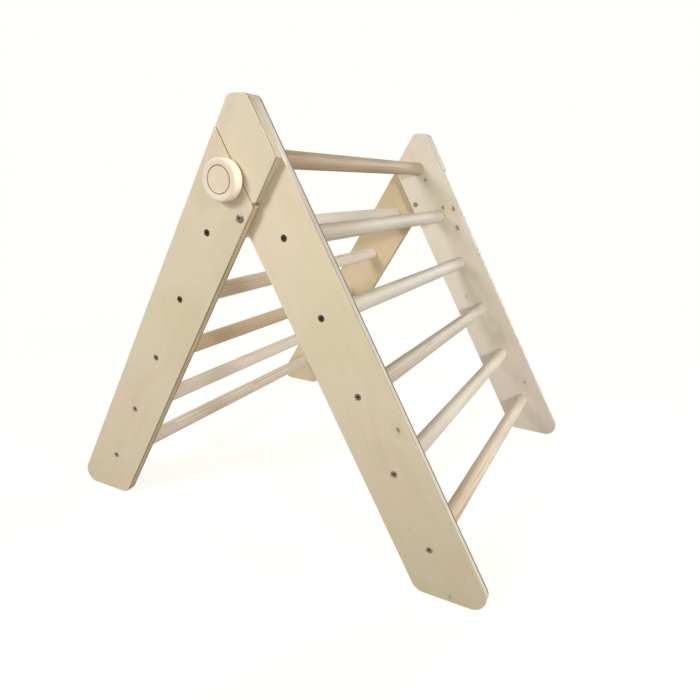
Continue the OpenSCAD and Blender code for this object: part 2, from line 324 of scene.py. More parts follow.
class Nodes:
    """Adds nodes to a tree, with one call for each."""

    def __init__(self, tree):
        self.tree = tree

    def add(self, kind, **settings):
        """A new node with these settings."""
        node = self.tree.nodes.new(kind)
        for key, value in settings.items():
            setattr(node, key, value)
        return node

    def feed(self, socket, value):
        """Links an output to a socket, or sets the socket's value."""
        if isinstance(value, bpy.types.NodeSocket):
            self.tree.links.new(value, socket)
        else:
            socket.default_value = value

    def fed(self, kind, *values, **settings):
        """A new node with its first inputs fed."""
        node = self.add(kind, **settings)
        for socket, value in zip(node.inputs, values):
            self.feed(socket, value)
        return node

    def math(self, operation, *values, clamp=False):
        """One sum with numbers."""
        return self.fed("ShaderNodeMath", *values, operation=operation, use_clamp=clamp).outputs[0]

    def times(self, product, *factors):
        """The product of all the values."""
        for factor in factors:
            product = self.math("MULTIPLY", product, factor)
        return product

    def less(self, value, amount):
        """The value less the amount."""
        return self.math("SUBTRACT", value, amount)

    def ramp(self, value, low, high):
        """0 below low, 1 above high, and smooth between them."""
        kind = "ShaderNodeMapRange"
        return self.fed(kind, value, low, high, interpolation_type="SMOOTHSTEP").outputs[0]

    def fall(self, value, low, high):
        """1 below low, 0 above high, and smooth between them."""
        return self.less(1.0, self.ramp(value, low, high))

    def vector(self, operation, *values):
        """The outputs of one sum with vectors."""
        return self.fed("ShaderNodeVectorMath", *values, operation=operation).outputs

    def axes(self, vector):
        """A vector's X, Y and Z."""
        return self.fed("ShaderNodeSeparateXYZ", vector).outputs

    def mix(self, factor, low, high, blend="MIX"):
        """A blend of two colours."""
        node = self.add("ShaderNodeMix", data_type="RGBA", blend_type=blend)
        self.feed(node.inputs[0], factor)
        for socket, value in ((node.inputs[6], low), (node.inputs[7], high)):
            self.feed(socket, value if isinstance(value, bpy.types.NodeSocket) else (*value, 1))
        return node.outputs[2]

    def coat(self, base, top, *cover):
        """A colour under another one, which covers it as far as the product of cover says."""
        return self.mix(self.times(*cover), base, top)

    def tinted(self, base, tint):
        """A colour times a tint."""
        return self.mix(1.0, base, tint, "MULTIPLY")


class Shader(Nodes):
    """The node tree of a new material."""

    def __init__(self, name):
        self.material = bpy.data.materials.new(name)
        self.material.use_nodes = True
        super().__init__(self.material.node_tree)
        self.surface = self.tree.nodes["Principled BSDF"]

    def place(self):
        """The place in the object's own axes, in metres."""
        return self.add("ShaderNodeTexCoord").outputs["Object"]

    def attribute(self, name, output):
        """An attribute that the piece's mesh holds."""
        return self.add("ShaderNodeAttribute", attribute_name=name).outputs[output]

    def stretched(self, vector, scale, turn=(0, 0, 0), move=(0, 0, 0)):
        """A vector turned, moved and then stretched."""
        turned = self.fed("ShaderNodeMapping", vector, move, turn)
        return self.vector("MULTIPLY", turned.outputs[0], scale)["Vector"]

    def noise(self, vector, detail=3.0, roughness=0.5, scale=1.0):
        """Noise from about 0 to 1, with one wave for each unit of the scaled vector."""
        node = self.add("ShaderNodeTexNoise")
        self.feed(node.inputs["Vector"], vector)
        self.feed(node.inputs["Scale"], scale)
        self.feed(node.inputs["Detail"], detail)
        self.feed(node.inputs["Roughness"], roughness)
        return node.outputs[0]

    def patches(self, vector, scale, low, high, detail=3.0, roughness=0.5, move=(0, 0, 0)):
        """Noise along a stretched vector, as patches: 0 where it is below low, 1 above high."""
        return self.ramp(self.noise(self.stretched(vector, scale, move=move), detail, roughness),
                         low, high)

    def finish(self, base, roughness, metallic=0.0, specular=0.35):
        """The material, with its surface fed."""
        self.feed(self.surface.inputs["Base Color"], base)
        self.feed(self.surface.inputs["Roughness"], roughness)
        self.feed(self.surface.inputs["Metallic"], metallic)
        self.feed(self.surface.inputs["Specular IOR Level"], specular)
        return self.material

    def bump(self, height, strength, distance=GRAIN_RELIEF):
        """Relief of the surface."""
        node = self.add("ShaderNodeBump")
        self.feed(node.inputs["Strength"], strength)
        self.feed(node.inputs["Distance"], distance)
        self.feed(node.inputs["Height"], height)
        self.feed(self.surface.inputs["Normal"], node.outputs[0])


# ---- Plywood ----

# Knots of the boards: the ways down the leg and across it in metres, the side, and the radius in
# millimetres
RIGHT_KNOTS = ((0.492, 0.043, -1, 3.8), (0.787, -0.002, -1, 2.2), (0.036, 0.007, 1, 4.2),
               (0.125, 0.020, 1, 4.8), (0.141, 0.045, 1, 5.6), (0.191, 0.034, 1, 6.4),
               (0.372, -0.021, 1, 2.6), (0.655, 0.031, 1, 2.6))
LEFT_KNOTS = ((0.30, -0.03, -1, 2.4), (0.705, 0.018, -1, 2.6), (0.41, 0.036, 1, 2.6))
# How fast the distance from a knot's middle grows along the grain, through the plies and across,
# and how far its outline wavers
KNOT_STRETCH = np.array([0.62, 0.3, 1.0])
KNOT_WAVER = 3 * MM
# Stretches down a leg, in metres: where the tints of painted light and shade turn from the top's to
# the foot's, and where the darker stripe of grain figure and painted shade sets in and dies out
TINT_TURN = (0.0, 0.85)
STRIPE_IN = (0.20, 0.34)
STRIPE_OUT = (0.46, 0.60)
# The darker stripe's middle across the leg, the stretch it fades over to both sides of it, how far
# it bends, and its tint. The stripe is partly grain figure and partly painted shade
STRIPE_MIDDLE = 6 * MM
STRIPE_FALL = (10 * MM, 40 * MM)
STRIPE_BEND = 30 * MM
STRIPE_TINT = (0.76, 0.75, 0.70)
# The way across the object over which the near board's tint of painted light and shade turns to
# the far board's
NEAR_TO_FAR = (-0.1, 0.1)
# The painted shade in the crack round a rung's end: its middle's distance from the rung, and the
# stretch it fades over
SEAM_SHADE_GAP = 0.3 * MM
SEAM_SHADE_FALL = (0.2 * MM, 0.7 * MM)
# The number of the last ply of painted arris shade under the inner face and under the outer one,
# and the way down the leg over which the outer one's line sets in
ARRIS_SHADE_PLIES = (3.5, 2.5)
LINE_FADE = 0.02

# Each finish of the boards and caps. ladder is the one whose legs the grain runs along. back is
# the distance of the inner face from the middle of the object. near, far and edge are pairs of
# tints, for a board's top and its foot: of the near board, of the far board, and of the plies;
# these tints are painted light and shade, and partly colour. dark holds the strengths of the dark
# plies under the inner face and the outer one, which are painted shade along the arrises, and the
# outer ones' line starts at outer_line_from, a way down the leg. stripe_strength is the strength
# of a darker stripe half way down the far board, partly grain figure and partly painted shade.
WARM = ((1.015, 1.01, 1.01),) * 2
PLYWOODS = {
    "right": {
        "ladder": "right", "back": INNER_FACE, "knots": RIGHT_KNOTS,
        "near": ((1.07, 1.05, 1.03), (0.885, 0.892, 0.85)),
        "far": ((1.0, 1.03, 1.12), (1.08, 1.12, 1.25)),
        "edge": ((0.70, 0.72, 0.77), (1.32, 1.34, 1.44)),
        "dark": (1.0, 0.5), "outer_line_from": 0.11, "stripe_strength": 0.9,
    },
    "left": {
        "ladder": "left", "back": LEFT_INNER_FACE, "knots": LEFT_KNOTS,
        "near": ((0.98, 0.98, 0.96), (0.98, 0.99, 0.97)),
        "far": ((0.85, 0.77, 0.65), (1.0, 0.95, 0.86)),
        "edge": ((0.90, 0.80, 0.66),) * 2,
        "dark": (0.5, 0.9),
    },
    "cap": {
        "ladder": "left", "back": OUTER_FACE, "near": WARM, "far": WARM,
        "edge": ((0.68, 0.67, 0.61),) * 2,
        "dark": (0.0, 0.75),
    },
}


def plywood(name, ladder, back, near, far, edge, dark, knots=(), outer_line_from=None, stripe_strength=0.0):
    """Birch plywood: veneer on the faces and plies on the edges, with the board's tints, which are
    painted light and shade and partly colour, and with painted shade along the arrises and round the
    rungs.
    """
    look = bpy.context.scene.triangle_plywood
    s = Shader(name)
    grain = board_grain(s, ladder)
    along, through, wide = s.axes(grain)
    depth = s.math("DIVIDE", s.less(s.math("ABSOLUTE", through), back), BOARD_T)
    outer = s.math("MINIMUM", s.less(1.0, depth), depth)
    down, far_side = s.ramp(along, *TINT_TURN), s.ramp(through, *NEAR_TO_FAR)
    fibre = s.noise(s.stretched(grain, (26, 60, 620)), 4.0, 0.6)
    pores = s.patches(grain, (130, 400, 1500), 0.63, 0.75, 1.0, 0.4)

    face = pin_knots(s, look, veneer(s, look, grain, fibre, pores), grain, back, knots)
    plies = ply_stack(s, look, grain, depth, outer, fibre)
    # Painted shade: dark lines in the plies under each face, where shade falls along the arrises
    inner_line = arris_shade_plies(s, depth, look.plies, ARRIS_SHADE_PLIES[0])
    outer_line = arris_shade_plies(s, s.less(1.0, depth), look.plies, ARRIS_SHADE_PLIES[1])
    if outer_line_from is not None:
        line_in = s.ramp(along, outer_line_from, outer_line_from + LINE_FADE)
        outer_line = s.times(outer_line, line_in)
    for line, strength in zip((inner_line, outer_line), dark):
        plies = s.coat(plies, look.line, line, strength)
    # Painted light and shade, and partly colour: the plies' tint from the top of the leg to its foot
    plies = s.tinted(plies, s.mix(down, *edge))
    wood = s.coat(face, plies, s.ramp(outer, 0.6 / look.plies, 1.0 / look.plies))
    # Painted light and shade, and partly colour: the near and far boards' tints from top to foot
    wood = s.tinted(wood, s.mix(far_side, s.mix(down, *near), s.mix(down, *far)))
    # Partly grain figure, partly painted shade: a darker stripe half way down the far board
    if stripe_strength:
        stripe = s.times(figure_and_shade_stripe(s, grain, along, wide), far_side)
        wood = s.coat(wood, s.tinted(wood, STRIPE_TINT), stripe, stripe_strength)
    # Painted shade in the crack round each rung's end
    wood = s.coat(wood, look.knot_and_seam_shade, rung_seam_shade(s, along, wide, depth), 0.55)
    s.bump(s.math("ADD", s.times(fibre, 0.6), s.times(pores, -0.5)), look.relief)
    return s.finish(wood, s.math("MULTIPLY_ADD", fibre, 0.16, look.gloss))


def board_grain(s, ladder):
    """The place from the top rung's axis, turned so that X runs down the ladder's leg, Z across
    it and Y through the plies."""
    from_top = s.vector("SUBTRACT", s.place(), (TOP_RUNG.x, 0, TOP_RUNG.z))["Vector"]
    return s.stretched(from_top, (1, 1, 1), (0, lean(ladder) - math.pi / 2, 0))


def veneer(s, look, grain, fibre, pores):
    """Face veneer: pinkish and greenish patches, slow flowing bands here and there, fine fibres,
    short pores and a few flecks."""
    blush = s.patches(grain, (5, 4, 9), 0.40, 0.66, 2.0, move=(0.1, 0.4, 0.2))
    olive = s.patches(grain, (6, 4, 10), 0.45, 0.68, move=(0.6, 0.2, 0.5))
    flow = s.noise(s.stretched(grain, (2.2, 3.0, 13.0)), 2.0, 0.45)
    bands = s.math("MULTIPLY_ADD", s.math("SINE", s.times(flow, 46.0)), 0.5, 0.5)
    banded = s.patches(grain, (3.5, 3.0, 11.0), 0.46, 0.72, move=(0.3, 0, 0.7))
    fleck = s.patches(grain, (70, 60, 260), 0.79, 0.85, 1.0, 0.4, (0.5, 0.1, 0.3))
    face = s.coat(look.veneer, look.blush, blush, 0.6)
    face = s.coat(face, look.olive, olive, 0.62)
    face = s.coat(face, look.streak, bands, banded, 0.30)
    face = s.coat(face, look.streak, s.math("SUBTRACT", fibre, 0.42, clamp=True), 0.75)
    face = s.coat(face, look.streak, pores, 0.16)
    return s.coat(face, look.knot_and_seam_shade, fleck, 0.5)


def pin_knots(s, look, face, grain, back, knots):
    """A face with its knots: each a dark spot with a wavering outline, in a halo four times as
    wide. Far knots lie in the inner face, and near ones at the right boards' outer face."""
    stretched = s.stretched(grain, KNOT_STRETCH)
    waver = s.times(s.less(s.noise(grain, scale=260.0), 0.5), KNOT_WAVER)
    for down, across_leg, side, size in knots:
        level = side * (OUTER_FACE if side < 0 else back)
        away = s.vector("DISTANCE", stretched, KNOT_STRETCH * (down, level, across_leg))["Value"]
        reach = s.math("ADD", away, waver)
        radius = size * MM
        face = s.coat(face, look.streak, s.fall(reach, radius, radius * 4), 0.35)
        face = s.coat(face, look.knot_and_seam_shade, s.fall(reach, radius * 0.5, radius), 0.9)
    return face


def ply_stack(s, look, grain, depth, outer, fibre):
    """Plies, from their depth in the board as a share of its thickness: the even ones run along
    the board and the odd ones across it, and glue lies between them, darkest at the faces."""
    waver = s.times(s.less(s.noise(s.stretched(grain, (9, 9, 9))), 0.5), 0.03)
    count = s.times(s.math("ADD", depth, waver), float(look.plies))
    part = s.math("FRACT", s.times(count, 0.5))
    odd = s.times(s.ramp(part, 0.485, 0.515), s.fall(part, 0.975, 1.0))
    speck = s.patches(grain, (700, 200, 700), 0.3, 0.7, 3.0, 0.6)
    plies = s.mix(odd, s.mix(fibre, look.long_ply, look.veneer),
                  s.mix(speck, look.cross_ply, look.streak))
    from_glue = s.math("ABSOLUTE", s.less(s.math("FRACT", s.math("ADD", count, 0.5)), 0.5))
    glue = s.fall(from_glue, 0.02, 0.16)
    strength = s.math("MULTIPLY_ADD", s.fall(outer, 1.2 / look.plies, 1.6 / look.plies), 0.35, 0.22)
    return s.coat(plies, look.knot_and_seam_shade, glue, strength)


def arris_shade_plies(s, depth, plies, last):
    """Painted shade along the arris: 1 from the second ply under the face at depth 0 to the last of so
    many plies.
    """
    return s.times(s.ramp(depth, 0.8 / plies, 1.0 / plies),
                   s.fall(depth, last / plies, (last + 0.4) / plies))


def figure_and_shade_stripe(s, grain, along, wide):
    """A stripe of flames down the middle of a board, partly grain figure and partly painted shade,
    over the stretch from STRIPE_IN to STRIPE_OUT, that bends a little from side to side."""
    bend = s.less(s.noise(s.stretched(grain, (6, 6, 6), move=(0.4, 0, 0.2))), 0.5)
    off = s.math("ABSOLUTE", s.less(s.math("MULTIPLY_ADD", bend, STRIPE_BEND, wide), STRIPE_MIDDLE))
    flame = s.patches(grain, (9, 4, 16), 0.25, 0.5, 2.0, move=(0.2, 0.5, 0.1))
    return s.times(s.fall(off, *STRIPE_FALL), flame, s.ramp(along, *STRIPE_IN),
                   s.fall(along, *STRIPE_OUT))


def rung_seam_shade(s, along, wide, depth):
    """A fine ring of painted shade where each rung enters the inner face: 1 at a distance just over
    the rung's radius from the nearest of the axes, which stand one pitch apart down the leg."""
    share = s.math("DIVIDE", along, RUNG_PITCH)
    past = s.times(s.less(share, s.math("ROUND", share)), RUNG_PITCH)
    reach = s.math("SQRT", s.math("ADD", s.math("POWER", past, 2.0), s.math("POWER", wide, 2.0)))
    off = s.math("ABSOLUTE", s.less(reach, RUNG_R + SEAM_SHADE_GAP))
    return s.times(s.fall(off, *SEAM_SHADE_FALL), s.fall(depth, 0.4, 0.5))


# ---- Other materials ----

# Tints of the rungs' late wood and blushed patches, of the knobs' handled middle, and the painted
# highlight on the knobs' rim
LATE_WOOD = (0.70, 0.62, 0.52)
DOWEL_BLUSH = (0.99, 0.92, 0.93)
KNOB_RIM_HIGHLIGHT = (1.15, 1.13, 1.12)
KNOB_HANDLED = (0.96, 0.945, 0.89)
# The turn of the knobs' grain from upright, and the metal's grit in grains per metre
KNOB_TURN = (0, 0.35, 0)
METAL_GRIT = 900.0
METAL_RELIEF = 0.1 * MM


def dowel_wood(name):
    """Dowel wood. The piece's own grain attribute holds (across, along, across) in the rung's
    turned axes, so each rung shows its own rings, and its tone attribute holds its own colour."""
    look = bpy.context.scene.triangle_dowel
    s = Shader(name)
    grain, tone = s.attribute("grain", "Vector"), s.attribute("tone", "Color")
    side, _, deep = s.axes(grain)
    wander = s.noise(s.stretched(grain, (22, 2.6, 22)), 2.0, 0.5)
    radius = s.math("SQRT", s.math("ADD", s.math("POWER", side, 2.0), s.math("POWER", deep, 2.0)))
    rings = s.math("ADD", s.math("DIVIDE", radius, look.ring), s.times(wander, 4.0))
    phase = s.math("FRACT", rings)
    late = s.times(s.ramp(phase, 0.35, 0.9), s.fall(phase, 0.92, 1.0))
    bold = s.patches(grain, (5, 3, 5), 0.35, 0.62, 1.0, move=(0.2, 0.6, 0.4))
    fibre = s.noise(s.stretched(grain, (900, 22, 900)), 4.0, 0.6)
    dash = s.patches(grain, (1500, 60, 1500), 0.60, 0.74, 1.0)
    blush = s.patches(grain, (9, 4, 9), 0.42, 0.68, 2.0)
    late_wood = s.tinted(tone, LATE_WOOD)
    wood = s.coat(tone, s.tinted(tone, DOWEL_BLUSH), blush, 0.6)
    wood = s.coat(wood, late_wood, late, s.math("MULTIPLY_ADD", bold, 0.6, 0.25))
    wood = s.coat(wood, late_wood, s.math("SUBTRACT", fibre, 0.4, clamp=True), 1.2)
    wood = s.coat(wood, late_wood, dash, 0.35)
    s.bump(s.math("ADD", s.times(late, 0.4), fibre), 0.22)
    return s.finish(wood, s.math("MULTIPLY_ADD", fibre, 0.18, 0.46))


def knob_wood(name):
    """Turned wood with its grain across the knob, a painted highlight on the rim, a little darker
    where hands polish its middle, and with a burnt line in the turned ring."""
    look = bpy.context.scene.triangle_knob
    s = Shader(name)
    place = s.place()
    flow = s.noise(s.stretched(place, (26, 30, 5), KNOB_TURN), 2.0, 0.5)
    lines = s.math("MULTIPLY_ADD", s.math("SINE", s.times(flow, 60.0)), 0.5, 0.5)
    fibre = s.noise(s.stretched(place, (800, 800, 34), KNOB_TURN), 4.0, 0.6)
    wood = s.coat(look.wood, look.grain, lines, 0.14)
    wood = s.coat(wood, look.grain, s.math("SUBTRACT", fibre, 0.44, clamp=True), 0.9)
    flat = s.stretched(place, (1, 0, 1), move=(-KNOB.x, 0, -KNOB.z))
    reach = s.vector("LENGTH", flat)["Value"]
    front = s.ramp(s.math("ABSOLUTE", s.axes(place)[1]), KNOB_FRONT - 2 * look.ring_depth,
                   KNOB_FRONT - 1.4 * look.ring_depth)
    off = s.math("ABSOLUTE", s.less(reach, look.ring / 2))
    ring = s.fall(off, 0.25 * look.ring_width, 0.6 * look.ring_width)
    scorch = s.math("MULTIPLY_ADD", s.noise(place, 2.0, 0.5, scale=160.0), 0.5, 0.6, clamp=True)
    wear_and_shade = s.fall(reach, look.ring * 0.44, look.ring * 0.5)
    # Painted highlight: the rounded rim is paler
    wood = s.coat(wood, s.tinted(wood, KNOB_RIM_HIGHLIGHT), s.ramp(reach, KNOB_R - look.rim, KNOB_R))
    wood = s.coat(wood, s.tinted(wood, KNOB_HANDLED), wear_and_shade, front)
    wood = s.coat(wood, look.burnt, ring, front, scorch)
    s.bump(fibre, 0.18)
    return s.finish(wood, s.math("MULTIPLY_ADD", fibre, 0.16, 0.44))


def metal(name, base, rough, worn=None):
    """Metal with fine grit in its roughness and faint smears in its colour. The piece's worn
    attribute, from 0 to 1, lets the worn colour through."""
    s = Shader(name)
    place = s.place()
    fine = s.noise(place, 3.0, 0.6, scale=METAL_GRIT)
    smear = s.noise(place, 2.0, 0.5, scale=90.0)
    skin = s.mix(s.ramp(smear, 0.35, 0.7), base, [0.72 * part for part in base])
    if worn is not None:
        share = s.attribute("worn", "Fac")
        skin = s.mix(s.math("ADD", share, s.times(s.less(smear, 0.5), share), clamp=True), skin, worn)
    s.bump(fine, 0.12, METAL_RELIEF)
    return s.finish(skin, s.math("MULTIPLY_ADD", s.less(fine, 0.5), 0.22, rough), 1.0, 0.5)


def nylon(name):
    """Moulded nylon, faintly mottled."""
    look = bpy.context.scene.triangle_metal
    s = Shader(name)
    mottle = s.noise(s.place(), 3.0, 0.5, scale=300.0)
    base = s.mix(mottle, look.nylon, [0.85 * part for part in look.nylon])
    return s.finish(base, s.math("MULTIPLY_ADD", mottle, 0.2, 0.4))


def dress(node, material):
    """Gives a CAD node a material."""
    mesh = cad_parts[node].data
    mesh.materials.clear()
    mesh.materials.append(material)


def shared(slot, maker, *values):
    """The finish of a slot, made once. The frame's own materials hold the bare slot names."""
    name = f"{slot}_finish"
    return bpy.data.materials.get(name) or maker(name, *values)


# ---- Operators ----

class TRIANGLE_OT_boards(bpy.types.Operator):
    """Dress the side boards and stop caps in plywood"""
    bl_idname = "triangle.boards"
    bl_label = "Side boards and caps"

    def execute(self, context):
        for finish, pieces in (("right", "right_board"), ("left", "left_board"), ("cap", "stop_cap")):
            material = plywood(f"plywood_{finish}_finish", **PLYWOODS[finish])
            for side in SIDES:
                dress(f"{pieces}_{side}", material)
        return {"FINISHED"}


class TRIANGLE_OT_rungs(bpy.types.Operator):
    """Turn the rungs, with a drilled pilot hole in each end"""
    bl_idname = "triangle.rungs"
    bl_label = "Rungs"

    STEPS = 96
    ROWS = 60
    # The colours of each rung's near and far ends, from the top rung down: partly the wood's own
    # tone and partly painted light and shade, as in the paler far ends and the darker top rung
    TONES = {
        "right": ("umber hazel", "honey grey", "grey grey", "honey grey", "grey pale", "tan pale"),
        "left": ("white white", "tawny white", "tawny tan", "pale pale", "pale pale"),
    }
    # How much painted shade darkens a stretch of a rung, where along it, and its half length, the
    # last two as shares of the rung
    MID_SHADE = {"right": 0.15, "left": 0.0}
    MID_SHADE_AT = 0.66
    MID_SHADE_HALF = 0.14
    PILOT_R = 2.6 * MM
    PILOT_LEN = 41 * MM
    NECK_R = 3.6 * MM
    NECK_LEN = 3.4 * MM
    # The depth of the sanding waves, and each one's count of radians per metre and of waves round
    SANDING = 0.05 * MM
    SANDING_WAVES = ((31, 2), (67, -3), (113, 0))
    # Least and most of the draws: the pith's distance from the rung's axis, and the grain's start
    PITH = (18 * MM, 60 * MM)
    START = (0, 9)
    PITH_TILT = 0.1
    LEFT_SEED = 20
    GRAIN_SEED = 100

    def rung(self, half, radius, bevel, seed):
        """A rung about Z: pilot hole, end face, bevel, and a long side whose radius wanders by
        the sanding depth as a sum of slow sines of height and angle."""
        side = np.linspace(-(half - bevel), half - bevel, self.ROWS)
        hole_r = [0, self.PILOT_R, self.PILOT_R, self.NECK_R, self.NECK_R, radius - bevel]
        hole_h = np.array([half - self.PILOT_LEN, half - self.PILOT_LEN, half - self.NECK_LEN,
                           half - self.NECK_LEN, half, half])
        radii, heights = profile((hole_r, -hole_h), (np.full(self.ROWS, radius), side),
                                 (hole_r[::-1], hole_h[::-1]))
        first, last = len(hole_r), len(hole_r) + self.ROWS
        starts = np.random.default_rng(seed).uniform(0, 2 * np.pi, len(self.SANDING_WAVES))

        def sanded(row, angle):
            wave = sum(np.sin(rise * heights[row] + round_it * angle + start)
                       for (rise, round_it), start in zip(self.SANDING_WAVES, starts))
            depth = wave * self.SANDING / len(self.SANDING_WAVES)
            return 1 + np.where((row >= first) & (row < last), depth / radius, 0)
        return turned_grid(radii, heights, self.STEPS, sanded)

    def execute(self, context):
        look = context.scene.triangle_dowel
        wood = shared("rung_wood", dowel_wood)
        for ladder, count in LADDERS.items():
            for step in range(1, count + 1):
                node, axis = f"{ladder}_rung_{step}", rung_axis(ladder, step)
                seed = step + self.LEFT_SEED * (ladder == "left")
                half = across(node, 1) / 2
                points, faces = self.rung(half, RUNG_R - self.SANDING, look.bevel, seed)
                piece = make_piece(f"dowel_{ladder}_{step}", along_y(points, 1, axis), faces,
                                   wood, f"{ladder}_ladder", "rung_wood", node)
                self.mark_grain(piece, axis, seed)
                ends = [np.array(getattr(look, word)) for word in self.TONES[ladder][step - 1].split()]
                self.mark_tone(piece, *ends, half, self.MID_SHADE[ladder])
        return {"FINISHED"}

    def mark_tone(self, piece, near, far, half, wear_and_shade):
        """Stores the tone attribute: a straight blend along the rung from the near end's colour to the
        far end's, partly the wood's tone and partly painted light and shade, darkened by a bell
        curve of painted shade over a stretch of the rung."""
        share = (vertices(piece)[:, 1:2] + half) / (2 * half)
        # Painted shade: a bell curve darkens the rung over a stretch
        shaded = 1 - wear_and_shade * np.exp(-((share - self.MID_SHADE_AT) / self.MID_SHADE_HALF) ** 2)
        tone = np.hstack([(near + (far - near) * share) * shaded, np.ones((len(share), 1))])
        mark(piece, "tone", "FLOAT_COLOR", "color", tone)

    def mark_grain(self, piece, axis, seed):
        """Stores the grain attribute: the place turned by an angle of its own about the rung's
        axis, and then measured from a pith line beside the rung and from a start along it."""
        draw = np.random.default_rng(self.GRAIN_SEED + seed)
        turn = draw.uniform(0, 2 * np.pi)
        pith = draw.uniform(*self.PITH)
        start = draw.uniform(*self.START)
        at = vertices(piece)
        x, z = at[:, 0] - axis[0], at[:, 2] - axis[1]
        grain = np.stack([x * np.cos(turn) - z * np.sin(turn) + pith, at[:, 1] + start,
                          x * np.sin(turn) + z * np.cos(turn) + self.PITH_TILT * pith], axis=-1)
        mark(piece, "grain", "FLOAT_VECTOR", "vector", grain)


class TRIANGLE_OT_screws(bpy.types.Operator):
    """Drive the countersunk socket screws into the rung ends"""
    bl_idname = "triangle.screws"
    bl_label = "Rung screws"

    STEPS = 48
    HEAD_H = 2.5 * MM
    NECK_R = 3.5 * MM
    SHANK_R = 2.5 * MM
    TIP = 2.5 * MM
    NECK_LEN = 12 * MM
    EDGE = 0.25 * MM
    # The socket's width at its floor, as a share of its width, and its rows in the profile
    SOCKET_DRAFT = 0.98
    SOCKET_ROWS = (1, 2)
    # How worn each head is, from the top rung down
    WORN = {"right": (0.0, 0.06, 0.08, 0.42, 0.72, 0.9), "left": (0.02, 0.06, 0.55, 0.8, 1.0)}

    def screw(self, long, head_r, look):
        """A screw about Z with its head's top at zero: hexagon socket, flat top with an eased
        edge, cone, neck, shank and point."""
        half, deep = look.socket / 2, look.socket_depth
        radii, heights = profile(
            ([0, half * self.SOCKET_DRAFT, half, half + self.EDGE, head_r - self.EDGE, head_r],
             [-deep, -deep, -self.EDGE, 0, 0, -self.EDGE]),
            ([self.NECK_R, self.NECK_R, self.SHANK_R, self.SHANK_R, 0],
             [-self.HEAD_H, -self.NECK_LEN, -self.NECK_LEN - MM, -long + self.TIP, -long]))
        socket = [len(radii) - 1 - row for row in self.SOCKET_ROWS]
        return turned_grid(radii[::-1], heights[::-1], self.STEPS, hexagon(socket))

    def execute(self, context):
        look = context.scene.triangle_metal
        steel = shared("dark_steel", metal, look.dark, 0.36, look.worn)
        for ladder, count in LADDERS.items():
            for side, sign in SIDES.items():
                node = f"{ladder}_screws_{side}"
                head_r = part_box(node)[1].z - rung_axis(ladder, 1)[1]
                points, faces = self.screw(across(node, 1), head_r, look)
                top = outer_face(node, sign)
                points = points + np.array([0, 0, top])
                places = [rung_axis(ladder, step) for step in range(1, count + 1)]
                parts = [(along_y(points, sign, place), faces) for place in places]
                piece = make_piece(f"screws_{ladder}_{side}", *join(parts), steel,
                                   f"{ladder}_ladder", "dark_steel", node)
                on_top = points[:, 2] > top - 1.5 * self.EDGE
                mark(piece, "worn", "FLOAT", "value",
                     np.concatenate([share * on_top for share in self.WORN[ladder]]))
        return {"FINISHED"}


class TRIANGLE_OT_knobs(bpy.types.Operator):
    """Turn the locking knobs and cut the threads of their studs"""
    bl_idname = "triangle.knobs"
    bl_label = "Locking knobs"

    STEPS = 128
    HOLE_R = 4.1 * MM
    HOLE_DEPTH = 12 * MM
    DOME = 0.25 * MM
    RIM_ROWS = 10
    RING_ROWS = 9
    DOME_ROWS = 8
    THREAD_STEPS = 40
    THREAD_ROWS_PER_TURN = 10
    THREAD_DEPTH = 0.6 * MM

    def knob(self, radius, thick, look):
        """A knob about Z from its back at zero: blind hole, back bevel, side, round rim, a
        rounded ring cut as one cosine wave, and a shallow dome inside the ring, which falls from
        its middle by the square of a sine."""
        rim = quarter_round(radius - look.rim, thick - look.rim, look.rim, self.RIM_ROWS)
        t = np.linspace(-1, 1, self.RING_ROWS)
        ring = (look.ring / 2 - t * look.ring_width / 2,
                thick - look.ring_depth * (np.cos(np.pi * t) + 1) / 2)
        dome_r = np.linspace(look.ring / 2 - look.ring_width, 0, self.DOME_ROWS)
        dome = (dome_r, thick - self.DOME * np.sin(np.pi * dome_r / look.ring) ** 2)
        radii, heights = profile(
            ([0, self.HOLE_R, self.HOLE_R, radius - look.back, radius],
             [self.HOLE_DEPTH, self.HOLE_DEPTH, 0, 0, look.back]), rim, ring, dome)
        return turned_grid(radii, heights, self.STEPS)

    def stud(self, low, high, radius, look):
        """A threaded rod about Z: the radius falls and rises as a triangle wave of height over
        pitch less the angle's share of a turn, and the thread fades out over the last
        millimetre of both ends."""
        turns = (high - low) / look.thread_pitch
        rows = int(turns * self.THREAD_ROWS_PER_TURN)
        height = np.linspace(low, high, rows)
        radii = np.concatenate([[0], np.full(rows, radius), [0]])
        heights = np.concatenate([[low], height, [high]])

        def cut(row, angle):
            share = (heights[row] - low) / look.thread_pitch - angle / (2 * np.pi)
            wave = np.abs(2 * (share % 1) - 1)
            fade = np.clip(np.minimum(heights[row] - low, high - heights[row]) / MM, 0, 1)
            return 1 - self.THREAD_DEPTH / radius * (wave * fade + 1 - fade)
        return turned_grid(radii, heights, self.THREAD_STEPS, cut)

    def execute(self, context):
        look = context.scene.triangle_knob
        steel_look = context.scene.triangle_metal
        wood = shared("knob_wood", knob_wood)
        steel = shared("bright_steel", metal, steel_look.bright, 0.30)
        for side, sign in SIDES.items():
            knob, stud = f"knob_{side}", f"knob_stud_{side}"
            place = (KNOB.x, KNOB.z)
            thick = across(knob, 1)
            points, faces = self.knob(across(knob) / 2, thick, look)
            points = points + np.array([0, 0, outer_face(knob, sign) - thick])
            make_piece(f"turned_knob_{side}", along_y(points, sign, place), faces, wood,
                       knob, "knob_wood", knob)
            high = outer_face(stud, sign)
            points, faces = self.stud(high - across(stud, 1), high, across(stud) / 2, look)
            make_piece(f"threaded_stud_{side}", along_y(points, sign, place), faces, steel,
                       knob, "bright_steel", stud)
            dress(f"knob_washer_{side}", steel)
        return {"FINISHED"}


